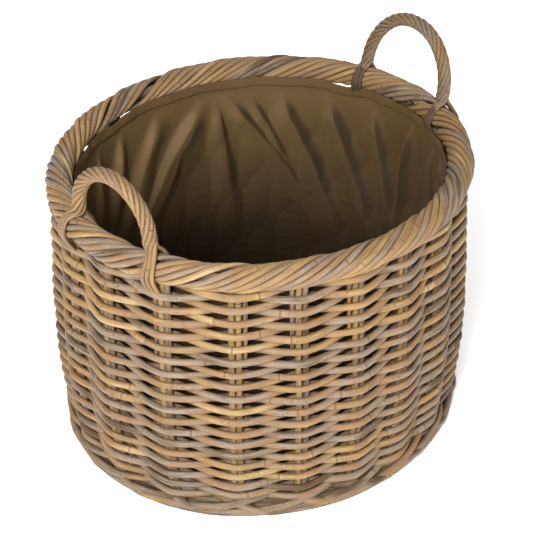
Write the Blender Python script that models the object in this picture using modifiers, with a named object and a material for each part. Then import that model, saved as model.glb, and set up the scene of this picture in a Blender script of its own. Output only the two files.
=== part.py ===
"""Lined, slightly oval log basket in thick whole rattan, with two rope ear handles.

Stakes stand in a woven base and rise into a rope border round a core hoop.
Weavers run in front of one stake group and behind the next (simple randing).
A fabric liner hangs inside. Metres, +Z up, origin on the floor under the
middle of the basket, the two handles a few degrees off the X axis.
"""

from math import asin, cos, pi, radians, sin

import bmesh
import bpy
from mathutils import Vector

# Driving dimensions
RIM_RADIUS = 0.2345          # centre line of the rope border
RIM_TUBE = 0.0155            # radius of the rope border
RIM_TOP = 0.350
STAKE_GROUPS = 21            # odd, so that each round of weaving alternates with the last
STAKE_PHASE = 0.66            # where the first group stands, in group spacings
STAKE_DRIFT = radians(2.6)   # the groups crowd and spread a little round the basket
DRIFT_FROM = radians(229)
STAKE_RADIUS_FOOT = 0.2330
WALL_BELLY = 0.0065           # how far the wall swells out, most of it below the middle
OVAL = 0.039                 # the plan is longer by this share across the handles, and narrower along them
ROD = 0.0074                 # diameter of a weaving rod
COURSES = 36
FIRST_COURSE = 0.0264
COURSE_PITCH = 0.00799
WEAVERS = 18
FOOT_OUTER = 0.2525          # the foot border stands a little proud of the wall
FOOT_HEIGHT = 0.0210
BASE_PLANE = 0.0175          # height of the base sticks and the stake tails
HANDLE_TUBE = 0.0083
LINER_CLOTH = 0.0015
GAP = 0.0004                 # clearance between pieces that touch
HANDLES = {
    # turn round the rim, lean outwards at the top, top's height, half width, half the feet's distance
    "handle_left": (radians(182.0), 0.0000, 0.4290, 0.0565, 0.0640),
    "handle_right": (radians(-6.2), 0.0195, 0.4415, 0.0680, 0.0720),
}

# Worked out from them
RIM_HEIGHT = RIM_TOP - RIM_TUBE
RING_STEPS = 2 * STAKE_GROUPS
CORE_TUBE = 0.0050
CORE_CAVITY = 0.0056
SLOT_HALF = 0.0043           # the stakes rise to the core hoop through this slot
STAKE_HALF_DEPTH = 0.0033
STAKE_HALF_WIDTH = 0.0075
STAKE_TOP = RIM_HEIGHT - CORE_TUBE - GAP
STAKE_TAIL_RADIUS = 0.2000
STAKE_BEND_RUN = 0.0065
BELLY_STEPS = 7
BELLY_DROP = 0.75             # under 1, the belly is widest below the middle
BELLY_TOP = 0.3110
BELLY_STEP = (BELLY_TOP - BASE_PLANE) / BELLY_STEPS
FOOT_REST_OUTER = 0.2480
FOOT_REST_INNER = 0.2330
FOOT_CLEAR = 0.0008
FOOT_TOP_EDGE = FOOT_OUTER - 0.0095
FOOT_SHOULDER = (FOOT_OUTER - 0.0030, 0.80 * FOOT_HEIGHT)
FOOT_BELLY = (FOOT_OUTER, 0.45 * FOOT_HEIGHT)
FOOT_TUCK = (FOOT_OUTER - 0.0015, 0.15 * FOOT_HEIGHT)
FOOT_INNER_TUCK_HEIGHT = 0.25 * FOOT_HEIGHT
WEAVE_STROKE = 0.0098        # how far a rod swings out and in from the stakes' middle
WEAVE_END_GAP = 0.04         # of one stake spacing, at each end of a weaver
STAGGER = 9                  # weavers' ends fall on this many different stakes
BASE_STICK = 0.0080
BASE_STICK_REACH = 0.1940
BASE_STICK_LAYER = 0.00435
SLATH_HALF = 0.0320
SLATH_END = 0.0560
BASE_WEAVE_INNER = 0.0600
BASE_WEAVE_OUTER = 0.2185
BASE_WEAVE_DEPTH = 0.0037
LINER_FLOOR = 0.0275
LINER_RADIUS_FOOT = 0.2178
LINER_RADIUS_TOP = 0.2198
HEM_BOTTOM = 0.3110
HEM_TOP = 0.3215
HEM_CLOTH = 0.0030
HANDLE_FOOT_RISE = 0.0060
SADDLE_DEPTH = 0.0046
SADDLE_HALF_WIDTH = 0.0100
SADDLE_CLEAR = 0.0010

COLOURS = {
    "rattan_weave": (0.46, 0.31, 0.17),
    "rattan_stakes": (0.50, 0.36, 0.20),
    "rattan_border": (0.60, 0.42, 0.21),
    "rattan_handles": (0.43, 0.28, 0.14),
    "rattan_foot": (0.34, 0.25, 0.16),
    "liner_cloth": (0.115, 0.080, 0.045),
}


def clear_scene():
    for obj in list(bpy.data.objects):
        bpy.data.objects.remove(obj, do_unlink=True)


def new_collection(name):
    collection = bpy.data.collections.new(name)
    bpy.context.scene.collection.children.link(collection)
    return collection


def material(name):
    made = bpy.data.materials.new(name)
    made.use_nodes = True
    shader = made.node_tree.nodes["Principled BSDF"]
    shader.inputs["Base Color"].default_value = (*COLOURS[name], 1.0)
    shader.inputs["Roughness"].default_value = 0.9 if name == "liner_cloth" else 0.6
    shader.inputs["Metallic"].default_value = 0.0
    return made


def smooth(mesh, angle=40):
    mesh.shade_smooth()
    mesh.set_sharp_from_angle(angle=radians(angle))


def ring_point(angle, radius, height):
    return Vector((radius * cos(angle), radius * sin(angle), height))


def stake_angle(index):
    even = 2 * pi * (index + STAKE_PHASE) / STAKE_GROUPS
    return even + STAKE_DRIFT * cos(3 * (even - DRIFT_FROM))


def stake_radius(height):
    """The radius of the stakes' middle at a height, with straight runs between a few heights of the belly."""
    share = (height - BASE_PLANE) / (STAKE_TOP - BASE_PLANE)
    place = min(max((height - BASE_PLANE) / BELLY_STEP, 0.0), BELLY_STEPS)
    step = min(int(place), BELLY_STEPS - 1)
    lower, upper = (sin(pi * ((step + k) / BELLY_STEPS) ** BELLY_DROP) for k in (0, 1))
    swell = lower + (upper - lower) * (place - step)
    return STAKE_RADIUS_FOOT + share * (RIM_RADIUS - STAKE_RADIUS_FOOT) + WALL_BELLY * swell


def arc(centre, radius, start, end, count):
    """Points (radius, height) on an arc, angles in degrees from the outward direction."""
    found = []
    for step in range(count):
        angle = radians(start + (end - start) * step / (count - 1))
        found.append((centre[0] + radius * cos(angle), centre[1] + radius * sin(angle)))
    return found


def turned(name, outline, look, steps=RING_STEPS, closed=True):
    """A ring: the outline (radius, height), clockwise, carried round the Z axis by a Screw."""
    mesh = bpy.data.meshes.new(name)
    bm = bmesh.new()
    corners = [bm.verts.new((radius, 0.0, height)) for radius, height in outline]
    ends = corners[1:] + corners[:1] if closed else corners[1:]
    for first, second in zip(corners, ends):
        bm.edges.new((first, second))
    bm.to_mesh(mesh)
    bm.free()
    obj = bpy.data.objects.new(name, mesh)
    PARTS.objects.link(obj)
    mesh.materials.append(look)
    screw = obj.modifiers.new("Screw", "SCREW")
    screw.steps = steps
    screw.render_steps = steps
    screw.use_merge_vertices = True
    screw.merge_threshold = 0.0001
    screw.use_smooth_shade = True
    return obj


def path_curve(name, points, look, collection=None):
    """A 3D curve object through the points, still without any thickness."""
    curve = bpy.data.curves.new(name, "CURVE")
    curve.dimensions = "3D"
    curve.use_fill_caps = True
    spline = curve.splines.new("POLY")
    spline.points.add(len(points) - 1)
    for point, place in zip(spline.points, points):
        point.co = (*place, 1.0)
    spline.use_smooth = True
    obj = bpy.data.objects.new(name, curve)
    (collection or PARTS).objects.link(obj)
    curve.materials.append(look)
    return obj


def rod(name, points, diameter, look, resolution=1, twist="Z_UP"):
    obj = path_curve(name, points, look)
    obj.data.bevel_depth = diameter / 2
    obj.data.bevel_resolution = resolution
    obj.data.twist_mode = twist
    return obj


def section_curve(name, corners):
    """A closed flat outline that other curves are swept with."""
    curve = bpy.data.curves.new(name, "CURVE")
    curve.dimensions = "2D"
    spline = curve.splines.new("POLY")
    spline.points.add(len(corners) - 1)
    for point, (across, up) in zip(spline.points, corners):
        point.co = (across, up, 0.0, 1.0)
    spline.use_cyclic_u = True
    obj = bpy.data.objects.new(name, curve)
    HELPERS.objects.link(obj)
    obj.hide_render = True
    obj.display_type = "WIRE"
    return obj


def swept(name, points, section, look, collection=None):
    obj = path_curve(name, points, look, collection)
    obj.data.bevel_mode = "OBJECT"
    obj.data.bevel_object = section
    obj.data.twist_mode = "MINIMUM"
    obj.data.splines[0].use_smooth = False
    return obj


def as_mesh(curve_object):
    """The curve object made into a welded mesh object, as a Boolean needs."""
    graph = bpy.context.evaluated_depsgraph_get()
    mesh = bpy.data.meshes.new_from_object(curve_object.evaluated_get(graph))
    bm = bmesh.new()
    bm.from_mesh(mesh)
    bmesh.ops.remove_doubles(bm, verts=bm.verts, dist=0.00001)
    bmesh.ops.recalc_face_normals(bm, faces=bm.faces)
    bm.to_mesh(mesh)
    bm.free()
    name = curve_object.name
    holder = curve_object.users_collection[0]
    made = bpy.data.objects.new(name + "_mesh", mesh)
    made.matrix_world = curve_object.matrix_world
    holder.objects.link(made)
    bpy.data.objects.remove(curve_object)
    made.name = name
    return made


def make_stakes(look):
    """Two rods side by side, bent in at the foot so that their tails lie in the base."""
    side, depth = STAKE_HALF_WIDTH, STAKE_HALF_DEPTH
    half = [(-side, 0), (-0.75 * side, depth), (-0.25 * side, depth), (0, 0.6 * depth)]
    top = half + [(-across, up) for across, up in reversed(half[:3])]
    outline = top + [(across, -up) for across, up in reversed(top[1:-1])]
    section = section_curve("stake_section", outline)
    route = [
        (STAKE_TAIL_RADIUS, 0.0, BASE_PLANE),
        (STAKE_RADIUS_FOOT - STAKE_BEND_RUN, 0.0, BASE_PLANE),
        (STAKE_RADIUS_FOOT, 0.0, BASE_PLANE + STAKE_BEND_RUN),
    ]
    heights = [BASE_PLANE + BELLY_STEP * (step + 1) for step in range(BELLY_STEPS)]
    route += [(stake_radius(height), 0.0, height) for height in [*heights, STAKE_TOP]]
    for index in range(STAKE_GROUPS):
        stake = swept(f"stake_pair_{index + 1:02d}", route, section, look)
        stake.rotation_euler = (0.0, 0.0, stake_angle(index))


def weave_point(count):
    """Place on the weaving after so many stakes: inside at even counts, outside at odd ones."""
    height = FIRST_COURSE + COURSE_PITCH * count / STAKE_GROUPS
    whole = int(count)
    swing = 1 - 2 * (count - whole)
    side = -swing if whole % 2 == 0 else swing
    return ring_point(stake_angle(count), stake_radius(height) + side * WEAVE_STROKE, height)


def weaver_end(index):
    """The stake count at which one weaver stops and the next begins, always behind a stake."""
    count = COURSES * STAKE_GROUPS // WEAVERS * index
    if 0 < index < WEAVERS:
        count += 2 * ((index * 5) % STAGGER - STAGGER // 2)
    return count


def make_weavers(look):
    for index in range(WEAVERS):
        first, last = weaver_end(index), weaver_end(index + 1)
        counts = [first + WEAVE_END_GAP, *range(first + 1, last), last - WEAVE_END_GAP]
        points = [weave_point(count) for count in counts]
        rod(f"weaver_{index + 1:02d}", points, ROD, look, resolution=0)


def base_stick_route(index, height):
    """Side by side in the middle, then opened out like a fan towards both ends."""
    place = index - 1.5
    offset = place * (BASE_STICK + 0.0007)
    spread = radians(22.5 * place)
    half = [
        (SLATH_HALF, offset, height),
        (SLATH_END * cos(spread), SLATH_END * sin(spread), BASE_PLANE),
        (BASE_STICK_REACH * cos(spread), BASE_STICK_REACH * sin(spread), BASE_PLANE),
    ]
    return [(-x, y, z) for x, y, z in reversed(half)] + half


def make_base(look):
    for layer, side, turn in (("lower", -1, 0.0), ("upper", 1, pi / 2)):
        for index in range(4):
            route = base_stick_route(index, BASE_PLANE + side * BASE_STICK_LAYER)
            stick = rod(f"base_stick_{layer}_{index + 1}", route, BASE_STICK, look)
            stick.rotation_euler = (0.0, 0.0, turn)
        near = BASE_PLANE + side * (BASE_STICK / 2 + GAP)
        far = near + side * BASE_WEAVE_DEPTH
        high, low = max(near, far), min(near, far)
        outline = [
            (BASE_WEAVE_INNER, high),
            (BASE_WEAVE_OUTER, high),
            (BASE_WEAVE_OUTER, low),
            (BASE_WEAVE_INNER, low),
        ]
        turned(f"base_weave_{layer}", outline, look)


def make_foot_border(look):
    """The thick plait that the basket stands on, flat underneath and close below the stakes' bend."""
    under_bend = STAKE_RADIUS_FOOT - STAKE_BEND_RUN - BASE_PLANE + 1.5 * STAKE_HALF_DEPTH + FOOT_CLEAR
    inner_top = BASE_PLANE - STAKE_HALF_DEPTH - FOOT_CLEAR
    outline = [
        (under_bend + FOOT_HEIGHT, FOOT_HEIGHT),
        (FOOT_TOP_EDGE, FOOT_HEIGHT),
        FOOT_SHOULDER,
        FOOT_BELLY,
        FOOT_TUCK,
        (FOOT_REST_OUTER, 0.0),
        (FOOT_REST_INNER, 0.0),
        (under_bend + inner_top, FOOT_INNER_TUCK_HEIGHT),
        (under_bend + inner_top, inner_top),
    ]
    turned("foot_border", outline, look)


def make_rim(core_look, rope_look):
    centre = (RIM_RADIUS, RIM_HEIGHT)
    turned("rim_core_hoop", arc(centre, CORE_TUBE, 90, -210, 6), core_look)
    outer_edge = 180 / pi * asin(SLOT_HALF / RIM_TUBE)
    inner_edge = 180 / pi * asin(SLOT_HALF / CORE_CAVITY)
    outline = arc(centre, RIM_TUBE, 270 - outer_edge, outer_edge - 90, 9)
    outline += arc(centre, CORE_CAVITY, inner_edge - 90, 270 - inner_edge, 6)
    turned("rim_rope_border", outline, rope_look)


def handle_route(plane, lean, top, half_width, foot_spread):
    """Half a circle on two short spreading legs, leaning out from the rope border."""
    spring_line = top - HANDLE_TUBE - half_width
    foot = RIM_TOP + HANDLE_FOOT_RISE
    leg = (half_width + foot_spread) / 2
    outline = [(leg, foot), *arc((0.0, spring_line), half_width, 0, 180, 17), (-leg, foot)]
    return [(plane + lean * (up - foot) / (top - foot), across, up) for across, up in outline]


def make_handle(name, look):
    """A rope arch whose rods part over the rim and grip it from both sides."""
    turn, lean, top, half_width, foot_spread = HANDLES[name]
    foot_angle = asin(foot_spread / RIM_RADIUS)
    route = handle_route(RIM_RADIUS * cos(foot_angle), lean, top, half_width, foot_spread)
    arch_curve = rod(name, route, 2 * HANDLE_TUBE, look, resolution=2, twist="MINIMUM")
    handle = as_mesh(arch_curve)
    handle.rotation_euler = (0.0, 0.0, turn)
    half = SADDLE_HALF_WIDTH, SADDLE_DEPTH / 2
    corners = [(-half[0], -half[1]), (half[0], -half[1]), (half[0], half[1]), (-half[0], half[1])]
    section = section_curve(name + "_saddle_section", corners)
    reach = RIM_TUBE + SADDLE_CLEAR + SADDLE_DEPTH / 2
    for side in (-1, 1):
        route = [(across, 0.0, up)
                 for across, up in arc((RIM_RADIUS, RIM_HEIGHT), reach, -20, 200, 13)]
        saddle = as_mesh(swept(f"{name}_saddle_{side}", route, section, look, HELPERS))
        saddle.rotation_euler = (0.0, 0.0, turn + side * foot_angle)
        saddle.hide_render = True
        saddle.display_type = "WIRE"
        join = handle.modifiers.new("Saddle", "BOOLEAN")
        join.operation = "UNION"
        join.object = saddle
    smooth(handle.data)


def make_liner(look):
    """Side panel, bottom panel and the folded hem that is tied under the rim."""
    top = HEM_BOTTOM - GAP
    side = [
        (LINER_RADIUS_TOP, top),
        (LINER_RADIUS_FOOT, LINER_FLOOR + LINER_CLOTH + GAP),
        (LINER_RADIUS_FOOT - LINER_CLOTH, LINER_FLOOR + LINER_CLOTH + GAP),
        (LINER_RADIUS_TOP - LINER_CLOTH, top),
    ]
    turned("liner_side_panel", side, look)
    hem = [
        (LINER_RADIUS_TOP, HEM_TOP),
        (LINER_RADIUS_TOP, HEM_BOTTOM),
        (LINER_RADIUS_TOP - HEM_CLOTH, HEM_BOTTOM),
        (LINER_RADIUS_TOP - HEM_CLOTH, HEM_TOP),
    ]
    turned("liner_hem", hem, look)
    bottom = [
        (0.0, LINER_FLOOR + LINER_CLOTH),
        (LINER_RADIUS_FOOT, LINER_FLOOR + LINER_CLOTH),
        (LINER_RADIUS_FOOT, LINER_FLOOR),
        (0.0, LINER_FLOOR),
    ]
    turned("liner_bottom_panel", bottom, look, closed=False)


def stretch_plan():
    """Every piece hangs on one empty, whose scale makes the round plan oval."""
    plan = bpy.data.objects.new("basket_plan", None)
    PARTS.objects.link(plan)
    plan.scale = (1 + OVAL, 1 - OVAL, 1.0)
    for obj in [*PARTS.objects, *HELPERS.objects]:
        if obj is not plan:
            obj.parent = plan


clear_scene()
PARTS = new_collection("log_basket")
HELPERS = new_collection("helpers")
LOOKS = {name: material(name) for name in COLOURS}

make_stakes(LOOKS["rattan_stakes"])
make_weavers(LOOKS["rattan_weave"])
make_base(LOOKS["rattan_foot"])
make_foot_border(LOOKS["rattan_foot"])
make_rim(LOOKS["rattan_stakes"], LOOKS["rattan_border"])
make_handle("handle_left", LOOKS["rattan_handles"])
make_handle("handle_right", LOOKS["rattan_handles"])
make_liner(LOOKS["liner_cloth"])
stretch_plan()
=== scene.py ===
"""A wicker log basket with a cloth liner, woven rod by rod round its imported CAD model."""

import math

import bpy
import numpy as np
from mathutils import Matrix, Vector


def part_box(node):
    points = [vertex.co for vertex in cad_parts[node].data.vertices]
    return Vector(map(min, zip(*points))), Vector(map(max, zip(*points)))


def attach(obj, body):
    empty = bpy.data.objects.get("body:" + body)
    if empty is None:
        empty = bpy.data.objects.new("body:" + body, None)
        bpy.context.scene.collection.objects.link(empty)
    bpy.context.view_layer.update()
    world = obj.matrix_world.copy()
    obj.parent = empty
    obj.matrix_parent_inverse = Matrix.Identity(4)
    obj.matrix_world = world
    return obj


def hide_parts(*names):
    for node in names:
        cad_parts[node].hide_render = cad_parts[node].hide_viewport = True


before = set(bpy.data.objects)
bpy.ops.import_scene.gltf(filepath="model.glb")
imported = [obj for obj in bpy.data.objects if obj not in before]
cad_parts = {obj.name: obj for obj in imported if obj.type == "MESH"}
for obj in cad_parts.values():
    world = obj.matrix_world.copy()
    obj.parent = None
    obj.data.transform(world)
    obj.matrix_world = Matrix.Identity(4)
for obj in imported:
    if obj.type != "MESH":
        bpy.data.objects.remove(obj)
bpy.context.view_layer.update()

TAU = 2 * math.pi


# Sizes, in metres, on a round plan that is widened along X and narrowed along Y at the end.

rim_low, rim_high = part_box("rim_rope_border")
foot_low, foot_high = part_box("foot_border")

OVAL = (rim_high.x - rim_high.y) / (rim_high.x + rim_high.y)
RIM_TUBE = 0.0155
RIM_RADIUS = (rim_high.x + rim_high.y) / 2 - RIM_TUBE
RIM_HEIGHT = rim_high.z - RIM_TUBE
RIM_ROD = 0.0036
RIM_ROD_FLAT = 0.0031
RIM_BUNDLES = 21
RIM_WRAP = 0.160
RIM_LEAD = 0.32
RIM_SWEEP = 1.02
RIM_PACKING = 4.4
RIM_FIRST_TURN = math.radians(-118)
RIM_TURN = math.radians(366)
RIM_END_SINK = 0.0035
RIM_LIFT = 0.0011

STAKE_GROUPS = 21
STAKE_PHASE = 0.66
STAKE_DRIFT = math.radians(2.6)
DRIFT_FROM = math.radians(229)
STAKE_RADIUS_FOOT = 0.2330
STAKE_ROD = 0.0036
STAKE_BOTTOM = 0.0075
STAKE_TOP = RIM_HEIGHT - 0.006
STAKE_SPLAY = 1.06 * STAKE_ROD
STAKE_WANDER = 0.0004
EXTRA_STAKE_ROD = 0.0029
EXTRA_STAKE_SPLAY = 3.1 * STAKE_ROD
WALL_BELLY = 0.0088
BELLY_DROP = 0.75
BELLY_TOP = 0.3110
BELLY_FROM = 0.0175

FIRST_COURSE = 0.0188
COURSE_PITCH = 0.00831
WEAVE_ROD = 0.0043
WEAVE_ROD_FLAT = 0.0038
WEAVE_STROKE = 0.0092
WEAVERS = 18
WEAVER_END_GAP = 0.012
WEAVER_ROWS = 19
COURSE_WANDER = 0.0005
STROKE_WANDER = 0.0004
RUN_PAIRS = (2, 5)
LAST_RUN = 12
BUTT_BESIDE = 0.72
BESIDE_SHARE = 0.22
ROD_SIZES = (0.92, 1.06)

FOOT_OUTER = (foot_high.x + foot_high.y) / 2 - 0.0025
FOOT_ROD = 0.0042
FOOT_CREST = FOOT_OUTER - FOOT_ROD + 0.0006
FOOT_STEP = 0.036
FOOT_LAG = 0.0028
FOOT_HOOPS = [
    # radius, height, rod
    (0.2440, 0.0050, 0.0048),
    (0.2365, 0.0060, 0.0046),
    (0.2310, 0.0105, 0.0042),
]
FOOT_STROKE = [
    # stake spacings along, radius, height, share of the lag added to the height
    (-0.35, 0.2290, 0.0150, 0),
    (0.00, 0.2392, 0.0150, 0),
    (0.35, 0.2478, 0.0118, -1),
    (0.80, FOOT_CREST, 0.0068, 0),
    (1.35, FOOT_CREST, 0.0078, 1),
    (1.90, 0.2462, 0.0132, 1),
    (2.30, 0.2410, 0.0178, 1),
    (2.62, 0.2322, 0.0196, 0),
]

HANDLE_TUBE = 0.0083
HANDLE_STRANDS = 7
HANDLE_STRAND = 0.00260
HANDLE_LAY = 0.080
HANDLE_FAN = 0.0055
HANDLE_END_OUTSIDE = 0.287
HANDLE_END_INSIDE = 0.300
HANDLES = {
    # turn round the rim, lean outwards at the top, half width, half the distance between the feet
    "handle_left": (math.radians(182.0), 0.0000, 0.0565, 0.0640),
    "handle_right": (math.radians(-6.2), 0.0185, 0.0690, 0.0720),
}

LINER_FLOOR = 0.0275
LINER_RADIUS_FOOT = 0.2172
LINER_RADIUS_TOP = 0.2192
LINER_CLOTH = 0.0012
LINER_CORNER = 0.012
LINER_COLUMNS = 900
LINER_ROWS = 170
LINER_RINGS = 60
LINER_BOTTOM_INSET = 0.0125
CLOTH_THREAD = 0.0007
HEM_BOTTOM = 0.3130
HEM_TOP = 0.3262
HEM_CLOTH = 0.0026
HEM_ROWS = 16
HEM_LIFT = 0.0036
HEM_DIPS = [
    # plan angle and half width in degrees of the places where the hem hangs free of the rim
    (105, 5.5),
    (17, 5.0),
    (-27, 5.0),
    (161, 5.0),
    (203, 5.0),
]

JOINT_GAP = 0.255

CAMERA_AZIMUTH = math.radians(-46)
CAMERA_ELEVATION = math.radians(35.5)
CAMERA_ROLL = math.radians(-0.45)
CAMERA_DISTANCE = 1.80
CAMERA_TARGET = Vector((0, 0, 0.175))
CAMERA_LENS = 98.5
CAMERA_SHIFT = (0.0080, 0.0100)

LAMPS = [
    # name, place, size, power
    ("key_light", (-1.92, -1.05, 1.82), 0.8, 88),
    ("fill_light", (0.6, -2.4, 1.5), 1.8, 21),
    ("back_light", (1.2, 1.8, 2.0), 1.6, 26),
]
LAMP_AIM = Vector((0, 0, 0.2))
FLOOR_REACH = 8.0
FLOOR_HEIGHT = -0.0005

# Places and paths.


def place(angle, radius, height):
    """Rows of x, y, z for an angle, a radius and a height on the round plan."""
    angle, radius, height = np.broadcast_arrays(angle, radius, height)
    east = (1 + OVAL) * radius * np.cos(angle)
    north = (1 - OVAL) * radius * np.sin(angle)
    return np.stack([east, north, height], axis=-1).astype(float)


def outward(path):
    """The level direction away from the middle of the basket at each point of a path."""
    away = path * np.array([1.0, 1.0, 0.0])
    return away / np.linalg.norm(away, axis=1, keepdims=True)


def unit(rows):
    """The rows with each one at a length of 1."""
    return rows / np.maximum(np.linalg.norm(rows, axis=-1, keepdims=True), 1e-9)


def smooth_path(points, spacing):
    """A Catmull-Rom curve through given points, read about every so many metres."""
    points = np.asarray(points, float)
    padded = np.vstack([2 * points[0] - points[1], points, 2 * points[-1] - points[-2]])
    found = []
    for before, start, end, after in zip(padded, padded[1:], padded[2:], padded[3:]):
        steps = max(2, int(np.linalg.norm(end - start) / spacing))
        t = (np.arange(steps) / steps)[:, None]
        found.append(
            0.5
            * (
                2 * start
                + (end - before) * t
                + (2 * before - 5 * start + 4 * end - after) * t**2
                + (3 * start - before - 3 * end + after) * t**3
            )
        )
    return np.vstack(found + [points[-1:]])


def smoothstep(value, low, high):
    """An eased step from 0 at low to 1 at high, where high may be the smaller one."""
    t = np.clip((value - low) / (high - low), 0, 1)
    return t * t * (3 - 2 * t)


# Rods.


class Bunch:
    """Rods that become one piece. Each has its own tone, and a grain that runs along it."""

    SIDES = 12

    def __init__(self, name, seed, shade=0.62, edge=0.25):
        self.name = name
        self.shade = shade
        self.edge = edge
        self.random = np.random.default_rng(seed)
        self.points, self.faces, self.grain, self.marks = [], [], [], []
        self.count = 0

    def rod(self, path, out, wide, flat, tone, dirt_and_painted_shade=0.0, taper=(1.0, 1.0)):
        """A rod along a path, with its half width `wide` across `out` and `flat` along `out`."""
        path = np.asarray(path, float)
        tangent = unit(np.gradient(path, axis=0))
        tip = 0.35 * flat
        path = np.vstack([path[0] - tip * tangent[0], path, path[-1] + tip * tangent[-1]])
        tangent = np.vstack([tangent[:1], tangent, tangent[-1:]])
        out = np.vstack([out[:1], out, out[-1:]])
        out = unit(out - (out * tangent).sum(1, keepdims=True) * tangent)
        across = np.cross(tangent, out)
        steps = np.linalg.norm(np.diff(path, axis=0), axis=1)
        along = np.concatenate([[0.0], np.cumsum(steps)])
        start = self.random.uniform(0, 40)
        waves = self.random.uniform(0, TAU, 3)
        swell = 1 + 0.022 * np.sin(along / 0.031 + waves[0])
        swell += 0.020 * np.sin(along / 0.0135 + waves[1])
        joint = np.abs((along + start + JOINT_GAP / 2) % JOINT_GAP - JOINT_GAP / 2)
        swell += 0.075 * np.exp(-((joint / 0.0028) ** 2))
        swell *= np.linspace(taper[0], taper[1], len(along))
        swell[[0, -1]] *= 0.74
        turn = TAU * np.arange(self.SIDES) / self.SIDES
        lean = waves[2] + along * 6
        shape = 1 + 0.03 * np.cos(2 * turn[None, :] + lean[:, None])
        size = (swell[:, None] * shape)[..., None]
        ring = (
            path[:, None]
            + size * flat * np.cos(turn)[None, :, None] * out[:, None]
            + size * wide * np.sin(turn)[None, :, None] * across[:, None]
        )
        rows, sides = ring.shape[:2]
        self.points.append(ring.reshape(-1, 3))
        grain = np.empty((rows, sides, 3))
        grain[..., 0] = (along + start)[:, None]
        grain[..., 1] = wide * np.cos(turn)[None, :]
        grain[..., 2] = wide * np.sin(turn)[None, :]
        self.grain.append(grain.reshape(-1, 3))
        marks = np.empty((rows, sides, 3))
        marks[..., 0] = tone
        marks[..., 1] = 0.0
        marks[[0, -1], :, 1] = 1.0
        # The darkening passed in is mostly painted shade, where a rod lies in a recess or in
        # shade, with some dirt.
        dirt_and_painted_shade = np.broadcast_to(dirt_and_painted_shade, rows - 2)
        dirt_and_painted_shade = np.concatenate([dirt_and_painted_shade[:1], dirt_and_painted_shade, dirt_and_painted_shade[-1:]])
        # Painted shade: each rod is darker on its sides that face away from out, in the grooves
        # between neighbours; shade sets how dark and edge where it begins.
        under = self.shade * smoothstep(np.cos(turn), self.edge, self.edge - 0.6)
        marks[..., 2] = np.maximum(dirt_and_painted_shade[:, None], under[None, :])
        self.marks.append(marks.reshape(-1, 3))
        row_start = self.count + sides * np.arange(rows - 1)[:, None]
        first = row_start + np.arange(sides)[None]
        second = row_start + (np.arange(sides) + 1)[None] % sides
        quads = np.stack([first, second, second + sides, first + sides], axis=-1)
        self.faces += quads.reshape(-1, 4).tolist()
        self.faces.append((self.count + np.arange(sides))[::-1].tolist())
        self.faces.append((self.count + (rows - 1) * sides + np.arange(sides)).tolist())
        self.count += rows * sides

    def build(self, material, slot, *nodes):
        piece = mesh_piece(
            self.name,
            np.vstack(self.points),
            self.faces,
            {"grain": np.vstack(self.grain), "marks": np.vstack(self.marks)},
            material,
        )
        finish_piece(piece, slot, *nodes)
        return piece


def mesh_piece(name, points, faces, attributes, material):
    """A smooth mesh object whose points carry the named vectors."""
    mesh = bpy.data.meshes.new(name)
    mesh.from_pydata(points.tolist(), [], faces)
    for key, values in attributes.items():
        layer = mesh.attributes.new(key, "FLOAT_VECTOR", "POINT")
        layer.data.foreach_set("vector", np.ascontiguousarray(values, np.float32).ravel())
    mesh.shade_smooth()
    mesh.materials.append(material)
    piece = bpy.data.objects.new(name, mesh)
    bpy.context.scene.collection.objects.link(piece)
    return piece


def finish_piece(piece, slot, *nodes):
    """Puts a piece on the one body, in place of the CAD nodes that it shows."""
    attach(piece, "root")
    if nodes:
        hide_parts(*nodes)


# Materials.


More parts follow.
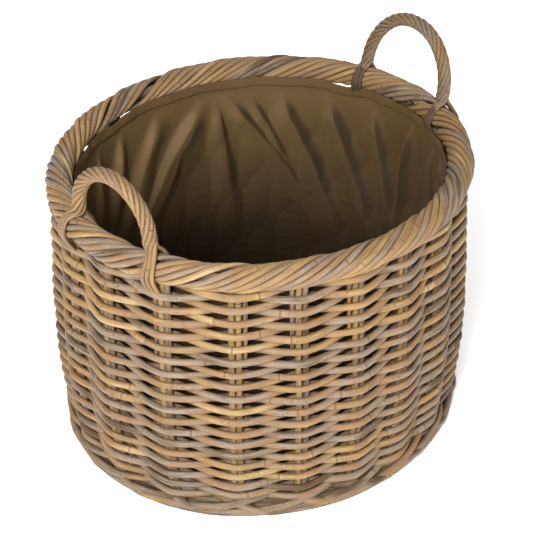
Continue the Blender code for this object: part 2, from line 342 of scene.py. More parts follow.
class Nodes:
    """A short way to write a node tree."""

    def __init__(self, name):
        self.material = bpy.data.materials.new(name)
        self.material.use_nodes = True
        self.tree = self.material.node_tree
        self.shader = self.tree.nodes["Principled BSDF"]

    def put(self, socket, value):
        if isinstance(value, bpy.types.NodeSocket):
            self.tree.links.new(value, socket)
        elif value is not None:
            socket.default_value = value

    def attribute(self, name):
        node = self.tree.nodes.new("ShaderNodeAttribute")
        node.attribute_name = name
        return node.outputs["Vector"]

    def math(self, operation, first, second=None, clamp=False):
        node = self.tree.nodes.new("ShaderNodeMath")
        node.operation = operation
        node.use_clamp = clamp
        self.put(node.inputs[0], first)
        self.put(node.inputs[1], second)
        return node.outputs[0]

    def scaled(self, vector, scale, shift=(0, 0, 0)):
        node = self.tree.nodes.new("ShaderNodeMapping")
        self.put(node.inputs["Vector"], vector)
        node.inputs["Scale"].default_value = scale
        node.inputs["Location"].default_value = shift
        return node.outputs[0]

    def split(self, vector):
        node = self.tree.nodes.new("ShaderNodeSeparateXYZ")
        self.put(node.inputs[0], vector)
        return node.outputs

    def noise(self, vector, detail):
        node = self.tree.nodes.new("ShaderNodeTexNoise")
        self.put(node.inputs["Vector"], vector)
        node.inputs["Scale"].default_value = 1.0
        node.inputs["Detail"].default_value = detail
        node.inputs["Roughness"].default_value = 0.55
        return node.outputs["Fac"]

    def range(self, value, low, high, to_low=0.0, to_high=1.0):
        node = self.tree.nodes.new("ShaderNodeMapRange")
        self.put(node.inputs["Value"], value)
        limits = {"From Min": low, "From Max": high, "To Min": to_low, "To Max": to_high}
        for key, number in limits.items():
            node.inputs[key].default_value = number
        return node.outputs[0]

    def ramp(self, value, stops):
        node = self.tree.nodes.new("ShaderNodeValToRGB")
        self.put(node.inputs[0], value)
        elements = node.color_ramp.elements
        while len(elements) < len(stops):
            elements.new(0.5)
        for element, (position, colour) in zip(elements, stops):
            element.position = position
            element.color = (*colour, 1)
        return node.outputs[0]

    def mix(self, factor, first, second):
        node = self.tree.nodes.new("ShaderNodeMix")
        node.data_type = "RGBA"
        self.put(node.inputs["Factor"], factor)
        for socket, value in ((node.inputs["A"], first), (node.inputs["B"], second)):
            if isinstance(value, tuple):
                value = (*value, 1)
            self.put(socket, value)
        return node.outputs["Result"]

    def bump(self, height, distance, strength):
        node = self.tree.nodes.new("ShaderNodeBump")
        self.put(node.inputs["Height"], height)
        node.inputs["Distance"].default_value = distance
        node.inputs["Strength"].default_value = strength
        return node.outputs[0]


UMBER = (0.085, 0.050, 0.026)
CUT_STRAW = (0.62, 0.50, 0.34)
RATTAN_TONES = [
    (0.00, (0.120, 0.062, 0.026)),
    (0.18, (0.215, 0.145, 0.090)),
    (0.36, (0.362, 0.280, 0.198)),
    (0.54, (0.325, 0.186, 0.086)),
    (0.76, (0.430, 0.258, 0.100)),
    (1.00, (0.560, 0.390, 0.190)),
]


def rattan(name, mottle=0.30, rough=0.52):
    """Weathered cane: long fibres, mottling, rings at its joints, specks and fine splits."""
    n = Nodes(name)
    grain = n.attribute("grain")
    tone, cut, dirt_and_painted_shade = n.split(n.attribute("marks"))
    patches = n.noise(n.scaled(grain, (16, 90, 90)), 3)
    streaks = n.noise(n.scaled(grain, (28, 900, 900)), 4)
    fibres = n.noise(n.scaled(grain, (60, 4200, 4200)), 3)
    shade = n.math("ADD", tone, n.range(patches, 0.3, 0.7, -mottle, mottle))
    shade = n.math("ADD", shade, n.range(streaks, 0.3, 0.7, -0.17, 0.17), clamp=True)
    colour = n.ramp(shade, RATTAN_TONES)
    colour = n.mix(n.range(fibres, 0.35, 0.75, 0.0, 0.46), colour, UMBER)
    specks = n.noise(n.scaled(grain, (330, 420, 420)), 2)
    area = n.noise(n.scaled(grain, (11, 40, 40), (7, 3, 1)), 2)
    speck = n.math("MULTIPLY", n.range(specks, 0.60, 0.68), n.range(area, 0.50, 0.60))
    splits = n.noise(n.scaled(grain, (22, 1500, 1500), (3, 9, 4)), 1)
    split = n.range(n.math("ABSOLUTE", n.math("SUBTRACT", splits, 0.5)), 0.0, 0.012, 1.0, 0.0)
    split = n.math("MULTIPLY", split, n.range(area, 0.50, 0.40))
    along = n.split(grain)[0]
    joint = n.math("PINGPONG", along, JOINT_GAP / 2)
    line = n.range(joint, 0.0003, 0.0019, 0.85, 0.0)
    collar = n.range(joint, 0.0012, 0.0065, 0.6, 0.0)
    dark = n.math("MAXIMUM", n.math("MULTIPLY", speck, 0.8), n.math("MULTIPLY", split, 0.75))
    dark = n.math("MAXIMUM", dark, n.math("MULTIPLY", line, 0.8))
    colour = n.mix(collar, colour, n.ramp(n.math("ADD", shade, 0.12), RATTAN_TONES))
    colour = n.mix(dark, colour, UMBER)
    colour = n.mix(n.math("MULTIPLY", cut, 0.6), colour, CUT_STRAW)
    # The third mark darkens the cane towards a dark brown: painted shade in grooves, in recesses
    # and on parts in shade, and some dirt.
    colour = n.mix(n.math("MULTIPLY", dirt_and_painted_shade, 0.85), colour, (0.06, 0.036, 0.020))
    n.put(n.shader.inputs["Base Color"], colour)
    n.put(n.shader.inputs["Roughness"], n.range(streaks, 0.3, 0.7, rough - 0.08, rough + 0.14))
    n.shader.inputs["Specular IOR Level"].default_value = 0.42
    height = n.math("ADD", n.math("MULTIPLY", fibres, 0.5), n.math("MULTIPLY", streaks, 0.9))
    height = n.math("SUBTRACT", height, n.math("MULTIPLY", dark, 0.7))
    n.put(n.shader.inputs["Normal"], n.bump(height, 0.00045, 0.8))
    return n.material


def carved_rattan(name):
    """The same cane for a CAD node, whose place in the object stands for a grain."""
    n = Nodes(name)
    place_node = n.tree.nodes.new("ShaderNodeTexCoord")
    where = place_node.outputs["Object"]
    patches = n.noise(n.scaled(where, (30, 30, 160)), 3)
    fibres = n.noise(n.scaled(where, (260, 260, 1400)), 3)
    colour = n.ramp(n.range(patches, 0.3, 0.7, 0.12, 0.62), RATTAN_TONES)
    colour = n.mix(n.range(fibres, 0.35, 0.75, 0.0, 0.4), colour, UMBER)
    n.put(n.shader.inputs["Base Color"], colour)
    n.shader.inputs["Roughness"].default_value = 0.62
    n.put(n.shader.inputs["Normal"], n.bump(fibres, 0.0005, 0.8))
    return n.material


def liner_cloth():
    """Brown woven polyester: a fine plain weave and a soft sheen, with painted shade outside, low
    down and on one side of each fold, and a painted highlight on its other side.
    """
    n = Nodes("liner_cloth")
    grain = n.attribute("grain")
    across, up, lie = n.split(grain)
    warp = n.math("SINE", n.math("MULTIPLY", across, TAU / CLOTH_THREAD))
    weft = n.math("SINE", n.math("MULTIPLY", up, TAU / CLOTH_THREAD))
    weave = n.math("MULTIPLY", warp, weft)
    slubs = n.noise(n.scaled(grain, (40, 900, 1)), 3)
    wear = n.noise(n.scaled(grain, (9, 9, 1)), 3)
    colour = n.mix(n.range(wear, 0.3, 0.7), (0.136, 0.078, 0.028), (0.176, 0.104, 0.039))
    colour = n.mix(n.range(weave, -1, 1, 0.0, 0.22), colour, (0.080, 0.048, 0.022))
    colour = n.mix(n.range(slubs, 0.4, 0.8, 0.0, 0.14), colour, (0.23, 0.155, 0.08))
    # Painted shade and painted highlight: the grain's third value, lie, darkens the hollows and
    # one side of each fold and lightens the other side.
    colour = n.mix(n.range(lie, 0, 1, 0.0, 0.82), colour, (0.020, 0.011, 0.004))
    colour = n.mix(n.range(lie, 0, -1, 0.0, 0.42), colour, (0.250, 0.160, 0.072))
    # Painted shade: the cloth's outer face, seen through the wall's gaps, is made almost black.
    surface = n.tree.nodes.new("ShaderNodeNewGeometry")
    facing = n.tree.nodes.new("ShaderNodeVectorMath")
    facing.operation = "DOT_PRODUCT"
    n.put(facing.inputs[0], surface.outputs["Normal"])
    n.put(facing.inputs[1], surface.outputs["Position"])
    outside = n.range(facing.outputs["Value"], 0.05, 0.12, 0.0, 0.72)
    colour = n.mix(outside, colour, (0.018, 0.010, 0.005))
    # Painted shade: the cloth is made much darker towards the floor of the basket.
    low = n.range(n.split(surface.outputs["Position"])[2], 0.29, 0.10, 0.0, 0.84)
    colour = n.mix(low, colour, (0.014, 0.007, 0.002))
    n.put(n.shader.inputs["Base Color"], colour)
    n.shader.inputs["Roughness"].default_value = 0.66
    n.shader.inputs["Sheen Weight"].default_value = 0.04
    n.shader.inputs["Sheen Roughness"].default_value = 0.45
    n.shader.inputs["Sheen Tint"].default_value = (0.62, 0.52, 0.38, 1)
    n.shader.inputs["Specular IOR Level"].default_value = 0.25
    height = n.math("ADD", n.math("MULTIPLY", weave, 0.35), n.math("MULTIPLY", slubs, 0.5))
    n.put(n.shader.inputs["Normal"], n.bump(height, 0.00025, 0.7))
    return n.material


def painted_light_paper():
    """White paper with a painted glow, none under the basket and rising away from it, and a
    painted shadow: the paper is dark under the basket.
    """
    n = Nodes("floor_paper")
    where = n.tree.nodes.new("ShaderNodeTexCoord").outputs["Object"]
    away = n.tree.nodes.new("ShaderNodeVectorMath")
    away.operation = "LENGTH"
    n.put(away.inputs[0], where)
    # Painted light: the paper glows, not at all under the basket and more and more away from it.
    glow = n.range(away.outputs["Value"], 0.205, 0.245, 0.0, 0.50)
    glow = n.math("ADD", glow, n.range(away.outputs["Value"], 0.30, 1.40, 0.0, 0.60))
    n.put(n.shader.inputs["Emission Strength"], glow)
    n.shader.inputs["Emission Color"].default_value = (1, 1, 1, 1)
    # Painted shadow: the paper's colour is dark under the basket.
    paper = n.range(away.outputs["Value"], 0.205, 0.235)
    mottle = n.range(n.noise(n.scaled(where, (3, 3, 3)), 2), 0, 1, 0.0, 0.02)
    white = n.mix(mottle, (0.93, 0.93, 0.93), (0.90, 0.90, 0.90))
    n.put(n.shader.inputs["Base Color"], n.mix(paper, (0.10, 0.085, 0.07), white))
    n.shader.inputs["Roughness"].default_value = 0.8
    return n.material


CANE = rattan("rattan_cane")
HANDLE_CANE = rattan("rattan_handle_cane", mottle=0.16, rough=0.56)
CARVED = carved_rattan("rattan_carved")
CLOTH = liner_cloth()


# Stakes and weave.


def stake_angle(index):
    """Where a stake group stands. The groups are a little unevenly spaced, as hand work is."""
    even = TAU * (np.asarray(index, float) + STAKE_PHASE) / STAKE_GROUPS
    return even + STAKE_DRIFT * np.cos(3 * (even - DRIFT_FROM))


def wall_radius(height):
    """The radius of the middle of the wall at a height."""
    share = np.clip(height / RIM_HEIGHT, 0, 1)
    rise = np.clip((height - BELLY_FROM) / (BELLY_TOP - BELLY_FROM), 0, 1)
    swell = WALL_BELLY * np.sin(math.pi * rise**BELLY_DROP)
    return STAKE_RADIUS_FOOT + share * (RIM_RADIUS - STAKE_RADIUS_FOOT) + swell


def float_wave(count):
    """From -1 inside a stake group to 1 outside it: straight runs with a bend at each group."""
    straight = 2 * np.abs(count % 2 - 1) - 1
    return -0.42 * np.cos(math.pi * count) - 0.58 * straight


def wander(random, count, size):
    """A smooth random offset with one value per stake group."""
    knots = random.normal(0, size, int(count.max()) - int(count.min()) + 3)
    base = np.floor(count).astype(int) - int(count.min())
    t = count - np.floor(count)
    t = t * t * (3 - 2 * t)
    return knots[base] * (1 - t) + knots[base + 1] * t


def weaver_end(index):
    """The stake group that a weaver's end lies behind."""
    stagger = 2 * ((index * 5) % 9 - 4) if 0 < index < WEAVERS else 0
    return 2 * STAKE_GROUPS * index + stagger


def rod_tone(random, height, angle):
    """Upper and left-hand rods are more honey, lower and right-hand ones greyer."""
    warmth = 0.50 + 0.16 * (height / RIM_HEIGHT - 0.5) - 0.06 * math.cos(angle - math.radians(290))
    return float(np.clip(random.normal(warmth, 0.17), 0.06, 0.95))


def weave():
    """The side weavers, each a run of shorter rods whose butt ends lie beside a stake."""
    for index in range(WEAVERS):
        bunch = Bunch(f"weave_rods_{index + 1:02d}", 100 + index)
        random = bunch.random
        start, stop = weaver_end(index), weaver_end(index + 1)
        cuts = [start]
        while stop - cuts[-1] > LAST_RUN:
            step = 2 * int(random.integers(*RUN_PAIRS))
            beside = random.random() < BESIDE_SHARE
            cuts.append(cuts[-1] + step + (BUTT_BESIDE if beside and cuts[-1] % 1 == 0 else 0))
            if cuts[-1] % 1 and stop - cuts[-1] > LAST_RUN / 2:
                cuts.append(2 * math.ceil(cuts[-1] / 2 + 2))
        cuts.append(stop)
        for first, last in zip(cuts, cuts[1:]):
            rows = max(8, int((last - first) * WEAVER_ROWS))
            count = np.linspace(first + WEAVER_END_GAP, last - WEAVER_END_GAP, rows)
            angle = stake_angle(count)
            height = FIRST_COURSE + COURSE_PITCH * count / STAKE_GROUPS
            height = height + wander(random, count, COURSE_WANDER)
            stroke = WEAVE_STROKE + wander(random, count, STROKE_WANDER)
            wave = float_wave(count)
            radius = wall_radius(height) + stroke * wave
            path = place(angle, radius, height)
            size = random.uniform(*ROD_SIZES)
            tone = rod_tone(random, height[0], angle[len(angle) // 2] % TAU)
            # Painted shade: the weaver is made darker where it runs behind a stake group.
            dirt_and_painted_shade = 0.30 * (1 - smoothstep(wave, -0.6, 0.5))
            bunch.rod(path, outward(path), size * WEAVE_ROD, size * WEAVE_ROD_FLAT, tone, dirt_and_painted_shade)
        bunch.build(CANE, "rattan_weave", f"weaver_{index + 1:02d}")


def stakes():
    """Two rods in each stake group, and a third, thinner one that is pushed in from the top."""
    for index in range(STAKE_GROUPS):
        bunch = Bunch(f"stake_rods_{index + 1:02d}", 300 + index)
        random = bunch.random
        angle = float(stake_angle(index))
        tones = [0.82, 0.40] if index % 4 else [0.70, 0.78]
        for side, tone in zip((-1, 1), tones):
            height = np.linspace(STAKE_BOTTOM, STAKE_TOP, 60)
            sway = wander(random, 6 * height / RIM_HEIGHT, STAKE_WANDER)
            shift = side * STAKE_SPLAY + sway
            path = place(angle + shift / RIM_RADIUS, wall_radius(height), height)
            tone = float(np.clip(tone + random.normal(0, 0.10), 0.05, 0.95))
            bunch.rod(path, outward(path), STAKE_ROD, STAKE_ROD, tone)
        height = np.linspace(random.uniform(0.21, 0.27), STAKE_TOP, 30)
        side = -1 if index % 3 else 1
        path = place(angle + side * EXTRA_STAKE_SPLAY / RIM_RADIUS, wall_radius(height), height)
        tone = 0.36 + random.normal(0, 0.1)
        bunch.rod(path, outward(path), EXTRA_STAKE_ROD, EXTRA_STAKE_ROD, tone, taper=(0.7, 1.0))
        bunch.build(CANE, "rattan_stakes", f"stake_pair_{index + 1:02d}")


# The rope rim.


def around_rim(angle, phase, distance):
    """A point beside the rim's middle line: phase 0 is outside it, a quarter turn is above."""
    radius = RIM_RADIUS + distance * np.cos(phase)
    return place(angle, radius, RIM_HEIGHT + distance * np.sin(phase))


def rim():
    """The rope border: bundles of four or five rods, each wound once round the hoop."""
    random = np.random.default_rng(7)
    # shade and edge give the rope strong painted shade in the grooves between its rods.
    bunch = Bunch("rim_rope_rods", 11, shade=0.82, edge=0.58)
    for bundle in range(RIM_BUNDLES):
        rods = 5 if bundle % 5 in (0, 2) else 4
        middle = float(stake_angle(bundle)) - RIM_LEAD * RIM_WRAP / RIM_RADIUS
        grey = bundle % 3 == 1 or random.random() < 0.15
        for j in range(rods):
            place_in = (j - (rods - 1) / 2) / RIM_PACKING
            start = middle + place_in * TAU / RIM_BUNDLES
            t = np.linspace(0, 1, 64)
            turn = RIM_FIRST_TURN + RIM_TURN * t
            sweep = (RIM_WRAP / RIM_RADIUS) * (t * RIM_SWEEP)
            lift = RIM_LIFT * (place_in * 2)
            distance = RIM_TUBE - RIM_ROD_FLAT + lift + random.normal(0, 0.00025)
            end = smoothstep(t, 0.10, 0.0) + smoothstep(t, 0.9, 1.0)
            distance = distance - RIM_END_SINK * end
            angle = start + sweep
            path = around_rim(angle, turn, distance)
            out = path - place(angle, RIM_RADIUS, RIM_HEIGHT)
            tone = random.normal(0.36 if grey else 0.70, 0.11)
            size = random.uniform(0.94, 1.06)
            # Painted shade: each rod is darker near its ends, where they sink into the rope.
            dirt_and_painted_shade = 0.35 * smoothstep(np.abs(t - 0.5), 0.36, 0.5)
            tone = float(np.clip(tone, 0.05, 0.98))
            bunch.rod(path, out, size * RIM_ROD, size * RIM_ROD_FLAT, tone, dirt_and_painted_shade)
    bunch.build(CANE, "rattan_border", "rim_rope_border")


# Handles.


def turned(rows, angle):
    """Rows of x, y, z turned about the basket's middle."""
    east = rows[..., 0] * math.cos(angle) - rows[..., 1] * math.sin(angle)
    north = rows[..., 0] * math.sin(angle) + rows[..., 1] * math.cos(angle)
    return np.stack([east, north, rows[..., 2]], axis=-1)


def handle_line(node, share):
    """The middle line of a handle from one foot to the other, for shares from 0 to 1."""
    turn_round, lean, half_width, foot_spread = HANDLES[node]
    plane = math.sqrt(RIM_RADIUS**2 - foot_spread**2)
    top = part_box(node)[1].z
    spring = top - HANDLE_TUBE - half_width
    foot = RIM_HEIGHT + RIM_TUBE
    leg = spring - foot
    arch = math.pi * half_width
    length = arch + 2 * leg
    s = np.asarray(share) * length
    turn = np.clip((s - leg) / half_width, 0, math.pi)
    y = -half_width * np.cos(turn)
    z = spring + half_width * np.sin(turn)
    down = np.maximum(leg - s, 0) + np.maximum(s - leg - arch, 0)
    z = z - down
    y = y + np.sign(y) * (foot_spread - half_width) * (down / leg) ** 1.5
    x = plane + lean * (z - foot) / (top - foot)
    line = turned(np.stack([x, y, z], axis=-1), turn_round)
    return line * np.array([1 + OVAL, 1 - OVAL, 1.0]), length


def handle(name, node, seed, tone, dirt_and_painted_shade):
    """A rope of strands whose ends part over the rim, outside it and inside it."""
    # shade and edge give the strands strong painted shade in the grooves between them.
    bunch = Bunch(name, seed, shade=0.95, edge=0.72)
    random = bunch.random
    share = np.linspace(0.0, 1.0, 90)
    line, length = handle_line(node, share)
    tangent = unit(np.gradient(line, axis=0))
    turn_round, _, _, foot_spread = HANDLES[node]
    outer = np.array([math.cos(turn_round), math.sin(turn_round), 0.0])
    in_plane = np.cross(tangent, outer)
    ring = HANDLE_TUBE - HANDLE_STRAND + 0.0002
    foot_angle = math.asin(foot_spread / RIM_RADIUS)
    for k in range(HANDLE_STRANDS):
        phase = TAU * k / HANDLE_STRANDS + TAU * (share - 0.5) * length / HANDLE_LAY
        offset = np.cos(phase)[:, None] * outer + np.sin(phase)[:, None] * in_plane
        middle = line + ring * offset
        ends = []
        for end, sign in ((0, -1), (-1, 1)):
            outside = math.cos(phase[end]) > 0
            middle_angle = turn_round + sign * foot_angle
            fan = math.sin(phase[end])
            shift = -sign * HANDLE_FAN * fan / RIM_RADIUS
            away = 1 if outside else -1
            reach = RIM_TUBE + HANDLE_STRAND * 1.05
            sink = HANDLE_END_OUTSIDE if outside else HANDLE_END_INSIDE
            stops = [
                # distance from the rim's middle line, rise above it, spread of the ends
                (0.62 * reach, RIM_TUBE * 0.92, 1.0),
                (1.00 * reach, 0.0, 1.25),
                (0.80 * reach, -0.0135, 1.35),
                (0.10 * reach if outside else 0.55 * reach, sink - RIM_HEIGHT + 0.012, 1.45),
                (-0.25 * reach if outside else 0.55 * reach, sink - RIM_HEIGHT, 1.5),
            ]
            distance, rise, spread = np.transpose(stops)
            around = middle_angle + spread * shift
            ends.append(place(around, RIM_RADIUS + away * distance, RIM_HEIGHT + rise))
        keep = slice(3, -3)
        points = np.vstack([ends[0][::-1], middle[keep], ends[1]])
        points = smooth_path(points, 0.0026)
        near = np.argmin(np.linalg.norm(points[:, None] - line[None, ::3], axis=2), axis=1)
        out = unit(points - line[::3][near])
        above_rim = points[:, 2] - RIM_HEIGHT - RIM_TUBE
        on_rim = smoothstep(above_rim, 0.006, -0.004)
        out = unit(out * (1 - on_rim)[:, None] + outward(points) * on_rim[:, None])
        size = random.uniform(0.93, 1.07)
        shade = float(np.clip(random.normal(tone, 0.09), 0.1, 0.9))
        # Painted shade: the strands are made darker where they run down beside the rim, below its
        # top.
        strand_dirt_and_shade = dirt_and_painted_shade + 0.3 * smoothstep(points[:, 2], 0.315, 0.295)
        bunch.rod(points, out, size * HANDLE_STRAND, size * 0.92 * HANDLE_STRAND, shade, strand_dirt_and_shade)
    bunch.build(HANDLE_CANE, "rattan_handles", node)


# The foot.


def foot():
    """Slanting rods plaited over level hoops."""
    bunch = Bunch("foot_border_rods", 23)
    random = bunch.random
    spacing = TAU / STAKE_GROUPS
    for radius, height, size in FOOT_HOOPS:
        for quarter in range(4):
            angle = np.linspace(quarter, quarter + 1.04, 110) * TAU / 4 + height * 60
            sway, lift = 0.0006 * np.sin(9 * angle), 0.0004 * np.sin(7 * angle)
            path = place(angle, radius + sway, height + lift)
            # Painted shade: the hoops are darkened all along, as they lie in shade under the wall.
            bunch.rod(path, outward(path), size, size, random.uniform(0.12, 0.45), 0.55)
    for index in range(STAKE_GROUPS):
        for part in range(2):
            start = float(stake_angle(index)) + (part - 0.5) * FOOT_STEP
            along, radius, height, share = np.transpose(FOOT_STROKE)
            height = np.maximum(height + share * FOOT_LAG * part, FOOT_ROD + 0.0002)
            path = smooth_path(place(start + along * spacing, radius, height), 0.0038)
            size = random.uniform(*ROD_SIZES)
            tone = float(np.clip(random.normal(0.36, 0.12), 0.08, 0.9))
            bunch.rod(path, outward(path), size * FOOT_ROD, size * 0.9 * FOOT_ROD, tone, 0.10)
    bunch.build(CANE, "rattan_foot", "foot_border")


# The liner.

FOLDS = [
    # plan angle where the fold leaves the hem, lean, width, depth, length: degrees and metres
    (112, 0.15, 0.014, 0.0060, 0.12),
    (99, 0.28, 0.018, 0.0080, 0.14),
    (82, 0.55, 0.026, 0.0110, 0.18),
    (65, 0.78, 0.028, 0.0135, 0.22),
    (62, -0.12, 0.018, 0.0070, 0.20),
    (60, -0.80, 0.028, 0.0135, 0.24),
    (52, -0.60, 0.020, 0.0085, 0.14),
    (41, -0.52, 0.028, 0.0135, 0.26),
    (24, -0.50, 0.026, 0.0130, 0.24),
    (6, -0.35, 0.020, 0.0095, 0.20),
    (-13, 0.10, 0.010, 0.0115, 0.21),
    (-27, -0.20, 0.014, 0.0080, 0.20),
]
MORE_FOLDS = 12
FOLD_WALL = 0.0135


def liner_radius(height):
    """The radius of the liner's wall at a height, before its folds."""
    share = np.clip((height - LINER_FLOOR) / (HEM_TOP - LINER_FLOOR), 0, 1)
    return LINER_RADIUS_FOOT + share * (LINER_RADIUS_TOP - LINER_RADIUS_FOOT)


def fold_depth(angle, height):
    """How far the cloth stands in from the wall: ridges that fan down from the hem's ties."""
    random = np.random.default_rng(31)
    folds = list(FOLDS)
    for number in range(MORE_FOLDS):
        around = -38 - number * (200 / MORE_FOLDS) + random.uniform(-5, 5)
        lean, width = random.uniform(-0.7, 0.7), random.uniform(0.009, 0.013)
        deep, long = random.uniform(0.005, 0.010), random.uniform(0.16, 0.25)
        folds.append((around, lean, width, deep, long))
    depth = np.zeros_like(angle)
    drop = HEM_BOTTOM - height
    for around, lean, width, deep, long in folds:
        turn = (angle - math.radians(around) + math.pi) % TAU - math.pi
        bend = lean * drop * (1 - 0.9 * drop)
        aside = turn * LINER_RADIUS_TOP - bend
        reach = width * (0.38 + 5.2 * np.maximum(drop, 0))
        rise = smoothstep(drop, 0.0, 0.045) * (1 - smoothstep(drop, 0.55 * long, 1.25 * long))
        steep = np.where(aside * lean > 0, 1.7, 0.75)
        ridge = 1 / (1 + np.abs(aside * steep / reach) ** 2.2) ** 1.4
        fold = deep * rise * ridge
        depth = np.maximum(depth, fold) + 0.25 * np.minimum(depth, fold)
    soft = 0.0011 * np.sin(23 * angle + 30 * height) * smoothstep(drop, 0.0, 0.06)
    soft += 0.0009 * np.sin(11 * angle - 41 * height + 1.3) * smoothstep(drop, 0.0, 0.06)
    ribs = 0.00022 * np.cos(TAU * height / (2 * COURSE_PITCH)) * np.cos(STAKE_GROUPS * angle / 2)
    return np.clip(depth + np.abs(soft) + ribs * smoothstep(drop, 0.08, 0.14), 0, FOLD_WALL)


def grid_faces(rows, columns):
    """Quads of a sheet whose columns run all the way round."""
    faces = []
    for first in range(0, (rows - 1) * columns, columns):
        for column in range(columns):
            right = (column + 1) % columns
            above = first + columns
            faces.append((first + column, first + right, above + right, above + column))
    return faces


def thicken(piece, thickness):
    """The cloth's thickness, applied, with the given surface as its inner face."""
    solid = piece.modifiers.new("thickness", "SOLIDIFY")
    solid.thickness = thickness
    solid.offset = -1
    graph = bpy.context.evaluated_depsgraph_get()
    mesh = bpy.data.meshes.new_from_object(piece.evaluated_get(graph))
    piece.modifiers.clear()
    piece.data = mesh


def liner():
    """The liner's side, its bottom and its hem."""
    columns, rows = LINER_COLUMNS, LINER_ROWS
    angle, height = np.meshgrid(
        TAU * np.arange(columns) / columns, np.linspace(LINER_FLOOR, HEM_BOTTOM + 0.004, rows)
    )
    depth = fold_depth(angle, height)
    radius = liner_radius(height) - depth
    # Painted shade and painted highlight on the folds: darker in the hollows between ridges and on
    # one side of each fold, lighter on its other side; the grain's third value carries it.
    slope = np.gradient(depth, axis=1) / (LINER_RADIUS_TOP * TAU / columns)
    hollow = 1 - smoothstep(depth, 0.0, 0.55 * FOLD_WALL)
    painted_fold_shade = np.clip(0.24 * hollow + 0.84 * smoothstep(slope, 0.02, 0.75), 0, 1)
    painted_fold_highlight = smoothstep(-slope, 0.02, 0.60)
    lie = (painted_fold_shade - painted_fold_highlight) * smoothstep(HEM_BOTTOM - height, 0.0, 0.035)
    corner = np.clip((LINER_FLOOR + LINER_CORNER - height) / LINER_CORNER, 0, 1)
    radius = radius - LINER_CORNER * (1 - np.sqrt(1 - corner**2))
    points = place(angle, radius, height).reshape(-1, 3)
    grain = np.stack([angle * LINER_RADIUS_TOP, height, lie], axis=-1).reshape(-1, 3)
    faces = [face[::-1] for face in grid_faces(rows, columns)]
    side = mesh_piece("liner_side_cloth", points, faces, {"grain": grain}, CLOTH)
    thicken(side, LINER_CLOTH)
    finish_piece(side, "liner_cloth", "liner_side_panel")

    around = columns // 3
    share = np.linspace(0.0, 1.0, LINER_RINGS)[1:]
    angle, share = np.meshgrid(TAU * np.arange(around) / around, share)
    edge = LINER_RADIUS_FOOT - LINER_BOTTOM_INSET
    swell = 0.0018 * np.sin(3 * angle + 2.0) * np.sin(9 * share)
    swell += 0.0012 * np.sin(7 * angle - 8 * share)
    creases = 0.0022 / (1 + (np.sin(2 * angle + 4 * share) / 0.09) ** 2)
    creases *= smoothstep(share, 0.3, 0.8)
    height = LINER_FLOOR + (np.abs(swell) + creases) * (1 - smoothstep(share, 0.85, 1.0)) + 0.0002
    points = place(angle, share * edge, height).reshape(-1, 3)
    middle = len(points)
    points = np.vstack([points, place(0.0, 0.0, LINER_FLOOR + 0.0004)])
    faces = [face[::-1] for face in grid_faces(LINER_RINGS - 1, around)]
    faces += [(middle, column, (column + 1) % around) for column in range(around)]
    grain = points * np.array([1.0, 1.0, 0.0])
    bottom = mesh_piece("liner_bottom_cloth", points, faces, {"grain": grain}, CLOTH)
    thicken(bottom, LINER_CLOTH)
    finish_piece(bottom, "liner_cloth", "liner_bottom_panel")

    hem = hem_band(columns)


def hem_band(columns):
    """The double-folded hem: a rounded band with a stitched line, pulled up at its ties."""
    rows = HEM_ROWS
    turn, angle = np.meshgrid(TAU * np.arange(rows) / rows, TAU * np.arange(columns) / columns)
    tall = (HEM_TOP - HEM_BOTTOM) / 2
    middle = (HEM_TOP + HEM_BOTTOM) / 2 + 0.0006 * np.sin(17 * angle)
    slack = np.zeros_like(angle)
    for where, wide in HEM_DIPS:
        turn_off = (angle - math.radians(where) + math.pi) % TAU - math.pi
        slack = np.maximum(slack, np.exp(-((turn_off / math.radians(wide)) ** 4)))
    middle = middle + HEM_LIFT * (1 - slack)
    stand = 0.0008 * np.sin(13 * angle + 2.0) + 0.0007 * np.sin(29 * angle)
    pinch = 1 - 0.38 * np.exp(-((np.sin(turn) - 0.35) ** 2) / 0.02)
    across = HEM_CLOTH / 2 * np.sign(np.cos(turn)) * np.abs(np.cos(turn)) ** 0.6 * pinch
    up = tall * np.sign(np.sin(turn)) * np.abs(np.sin(turn)) ** 0.8
    radius = LINER_RADIUS_TOP - 0.0012 + across - np.abs(stand)
    points = place(angle, radius, middle + up).reshape(-1, 3)
    grain = np.stack([angle * LINER_RADIUS_TOP, up, 0 * up], axis=-1).reshape(-1, 3)
    faces = []
    for column in range(columns):
        first, second = column * rows, (column + 1) % columns * rows
        for row in range(rows):
            above = (row + 1) % rows
            faces.append((first + row, second + row, second + above, first + above))
    hem = mesh_piece("liner_hem_band", points, faces, {"grain": grain}, CLOTH)
    finish_piece(hem, "liner_cloth", "liner_hem")
    return hem


# Carried-over CAD nodes.


def finish_cad():
    """Gives the CAD nodes that no piece replaces the cane's material."""
    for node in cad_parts.values():
        if node.hide_render:
            continue
        node.data.materials.clear()
        node.data.materials.append(CARVED)


# Floor, light and camera.


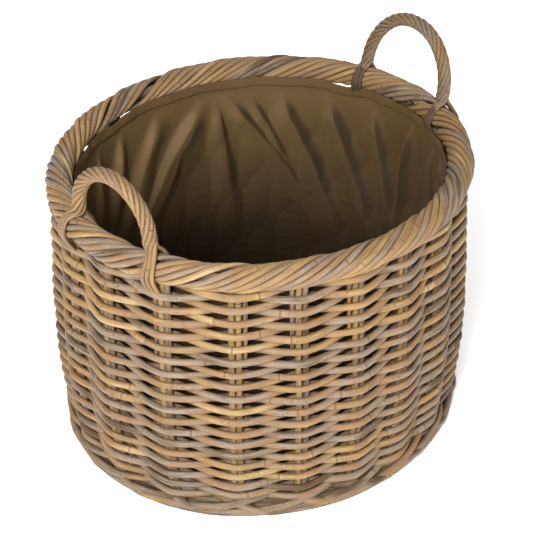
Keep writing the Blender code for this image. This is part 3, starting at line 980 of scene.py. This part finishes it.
def studio():
    """The floor, a room that is brightest near the floor, and three soft lamps."""
    mesh = bpy.data.meshes.new("studio_floor")
    sides = ((-1, -1), (1, -1), (1, 1), (-1, 1))
    corners = [(x * FLOOR_REACH, y * FLOOR_REACH, 0) for x, y in sides]
    mesh.from_pydata(corners, [], [(0, 1, 2, 3)])
    floor = bpy.data.objects.new("studio_floor", mesh)
    mesh.materials.append(painted_light_paper())
    bpy.context.scene.collection.objects.link(floor)
    floor.location.z = FLOOR_HEIGHT

    world = bpy.data.worlds.new("studio_air")
    world.use_nodes = True
    nodes, links = world.node_tree.nodes, world.node_tree.links
    where = nodes.new("ShaderNodeTexCoord")
    height = nodes.new("ShaderNodeSeparateXYZ")
    links.new(where.outputs["Generated"], height.inputs[0])
    fade = nodes.new("ShaderNodeMapRange")
    links.new(height.outputs["Z"], fade.inputs["Value"])
    fade.inputs["From Max"].default_value = 0.75
    fade.inputs["To Min"].default_value = 0.70
    fade.inputs["To Max"].default_value = 0.06
    links.new(fade.outputs[0], nodes["Background"].inputs["Strength"])
    bpy.context.scene.world = world
    for name, where, size, power in LAMPS:
        light = bpy.data.lights.new(name, "AREA")
        light.energy = power
        light.size = size
        lamp = bpy.data.objects.new(name, light)
        lamp.location = where
        aim = (LAMP_AIM - Vector(where)).to_track_quat("-Z", "Y")
        lamp.rotation_euler = aim.to_euler()
        bpy.context.scene.collection.objects.link(lamp)


def camera():
    """The camera at the photograph's viewing angle."""
    level = math.cos(CAMERA_ELEVATION)
    back = Vector(
        (
            math.sin(CAMERA_AZIMUTH) * level,
            -math.cos(CAMERA_AZIMUTH) * level,
            math.sin(CAMERA_ELEVATION),
        )
    )
    data = bpy.data.cameras.new("view_camera")
    data.sensor_width = 36
    data.lens = CAMERA_LENS
    data.shift_x, data.shift_y = CAMERA_SHIFT
    eye = bpy.data.objects.new("view_camera", data)
    facing = back.to_track_quat("Z", "Y").to_matrix() @ Matrix.Rotation(CAMERA_ROLL, 3, "Z")
    eye.matrix_world = Matrix.Translation(CAMERA_TARGET + CAMERA_DISTANCE * back) @ facing.to_4x4()
    bpy.context.scene.collection.objects.link(eye)
    bpy.context.scene.camera = eye
    bpy.context.scene.view_settings.view_transform = "Standard"


camera()
studio()
weave()
stakes()
rim()
# The right-hand handle gets a browner tone and more darkening than the left-hand one: painted
# shade, as it stands in shade.
handle("handle_rope_left", "handle_left", 41, tone=0.62, dirt_and_painted_shade=0.08)
handle("handle_rope_right", "handle_right", 42, tone=0.50, dirt_and_painted_shade=0.26)
foot()
liner()
finish_cad()
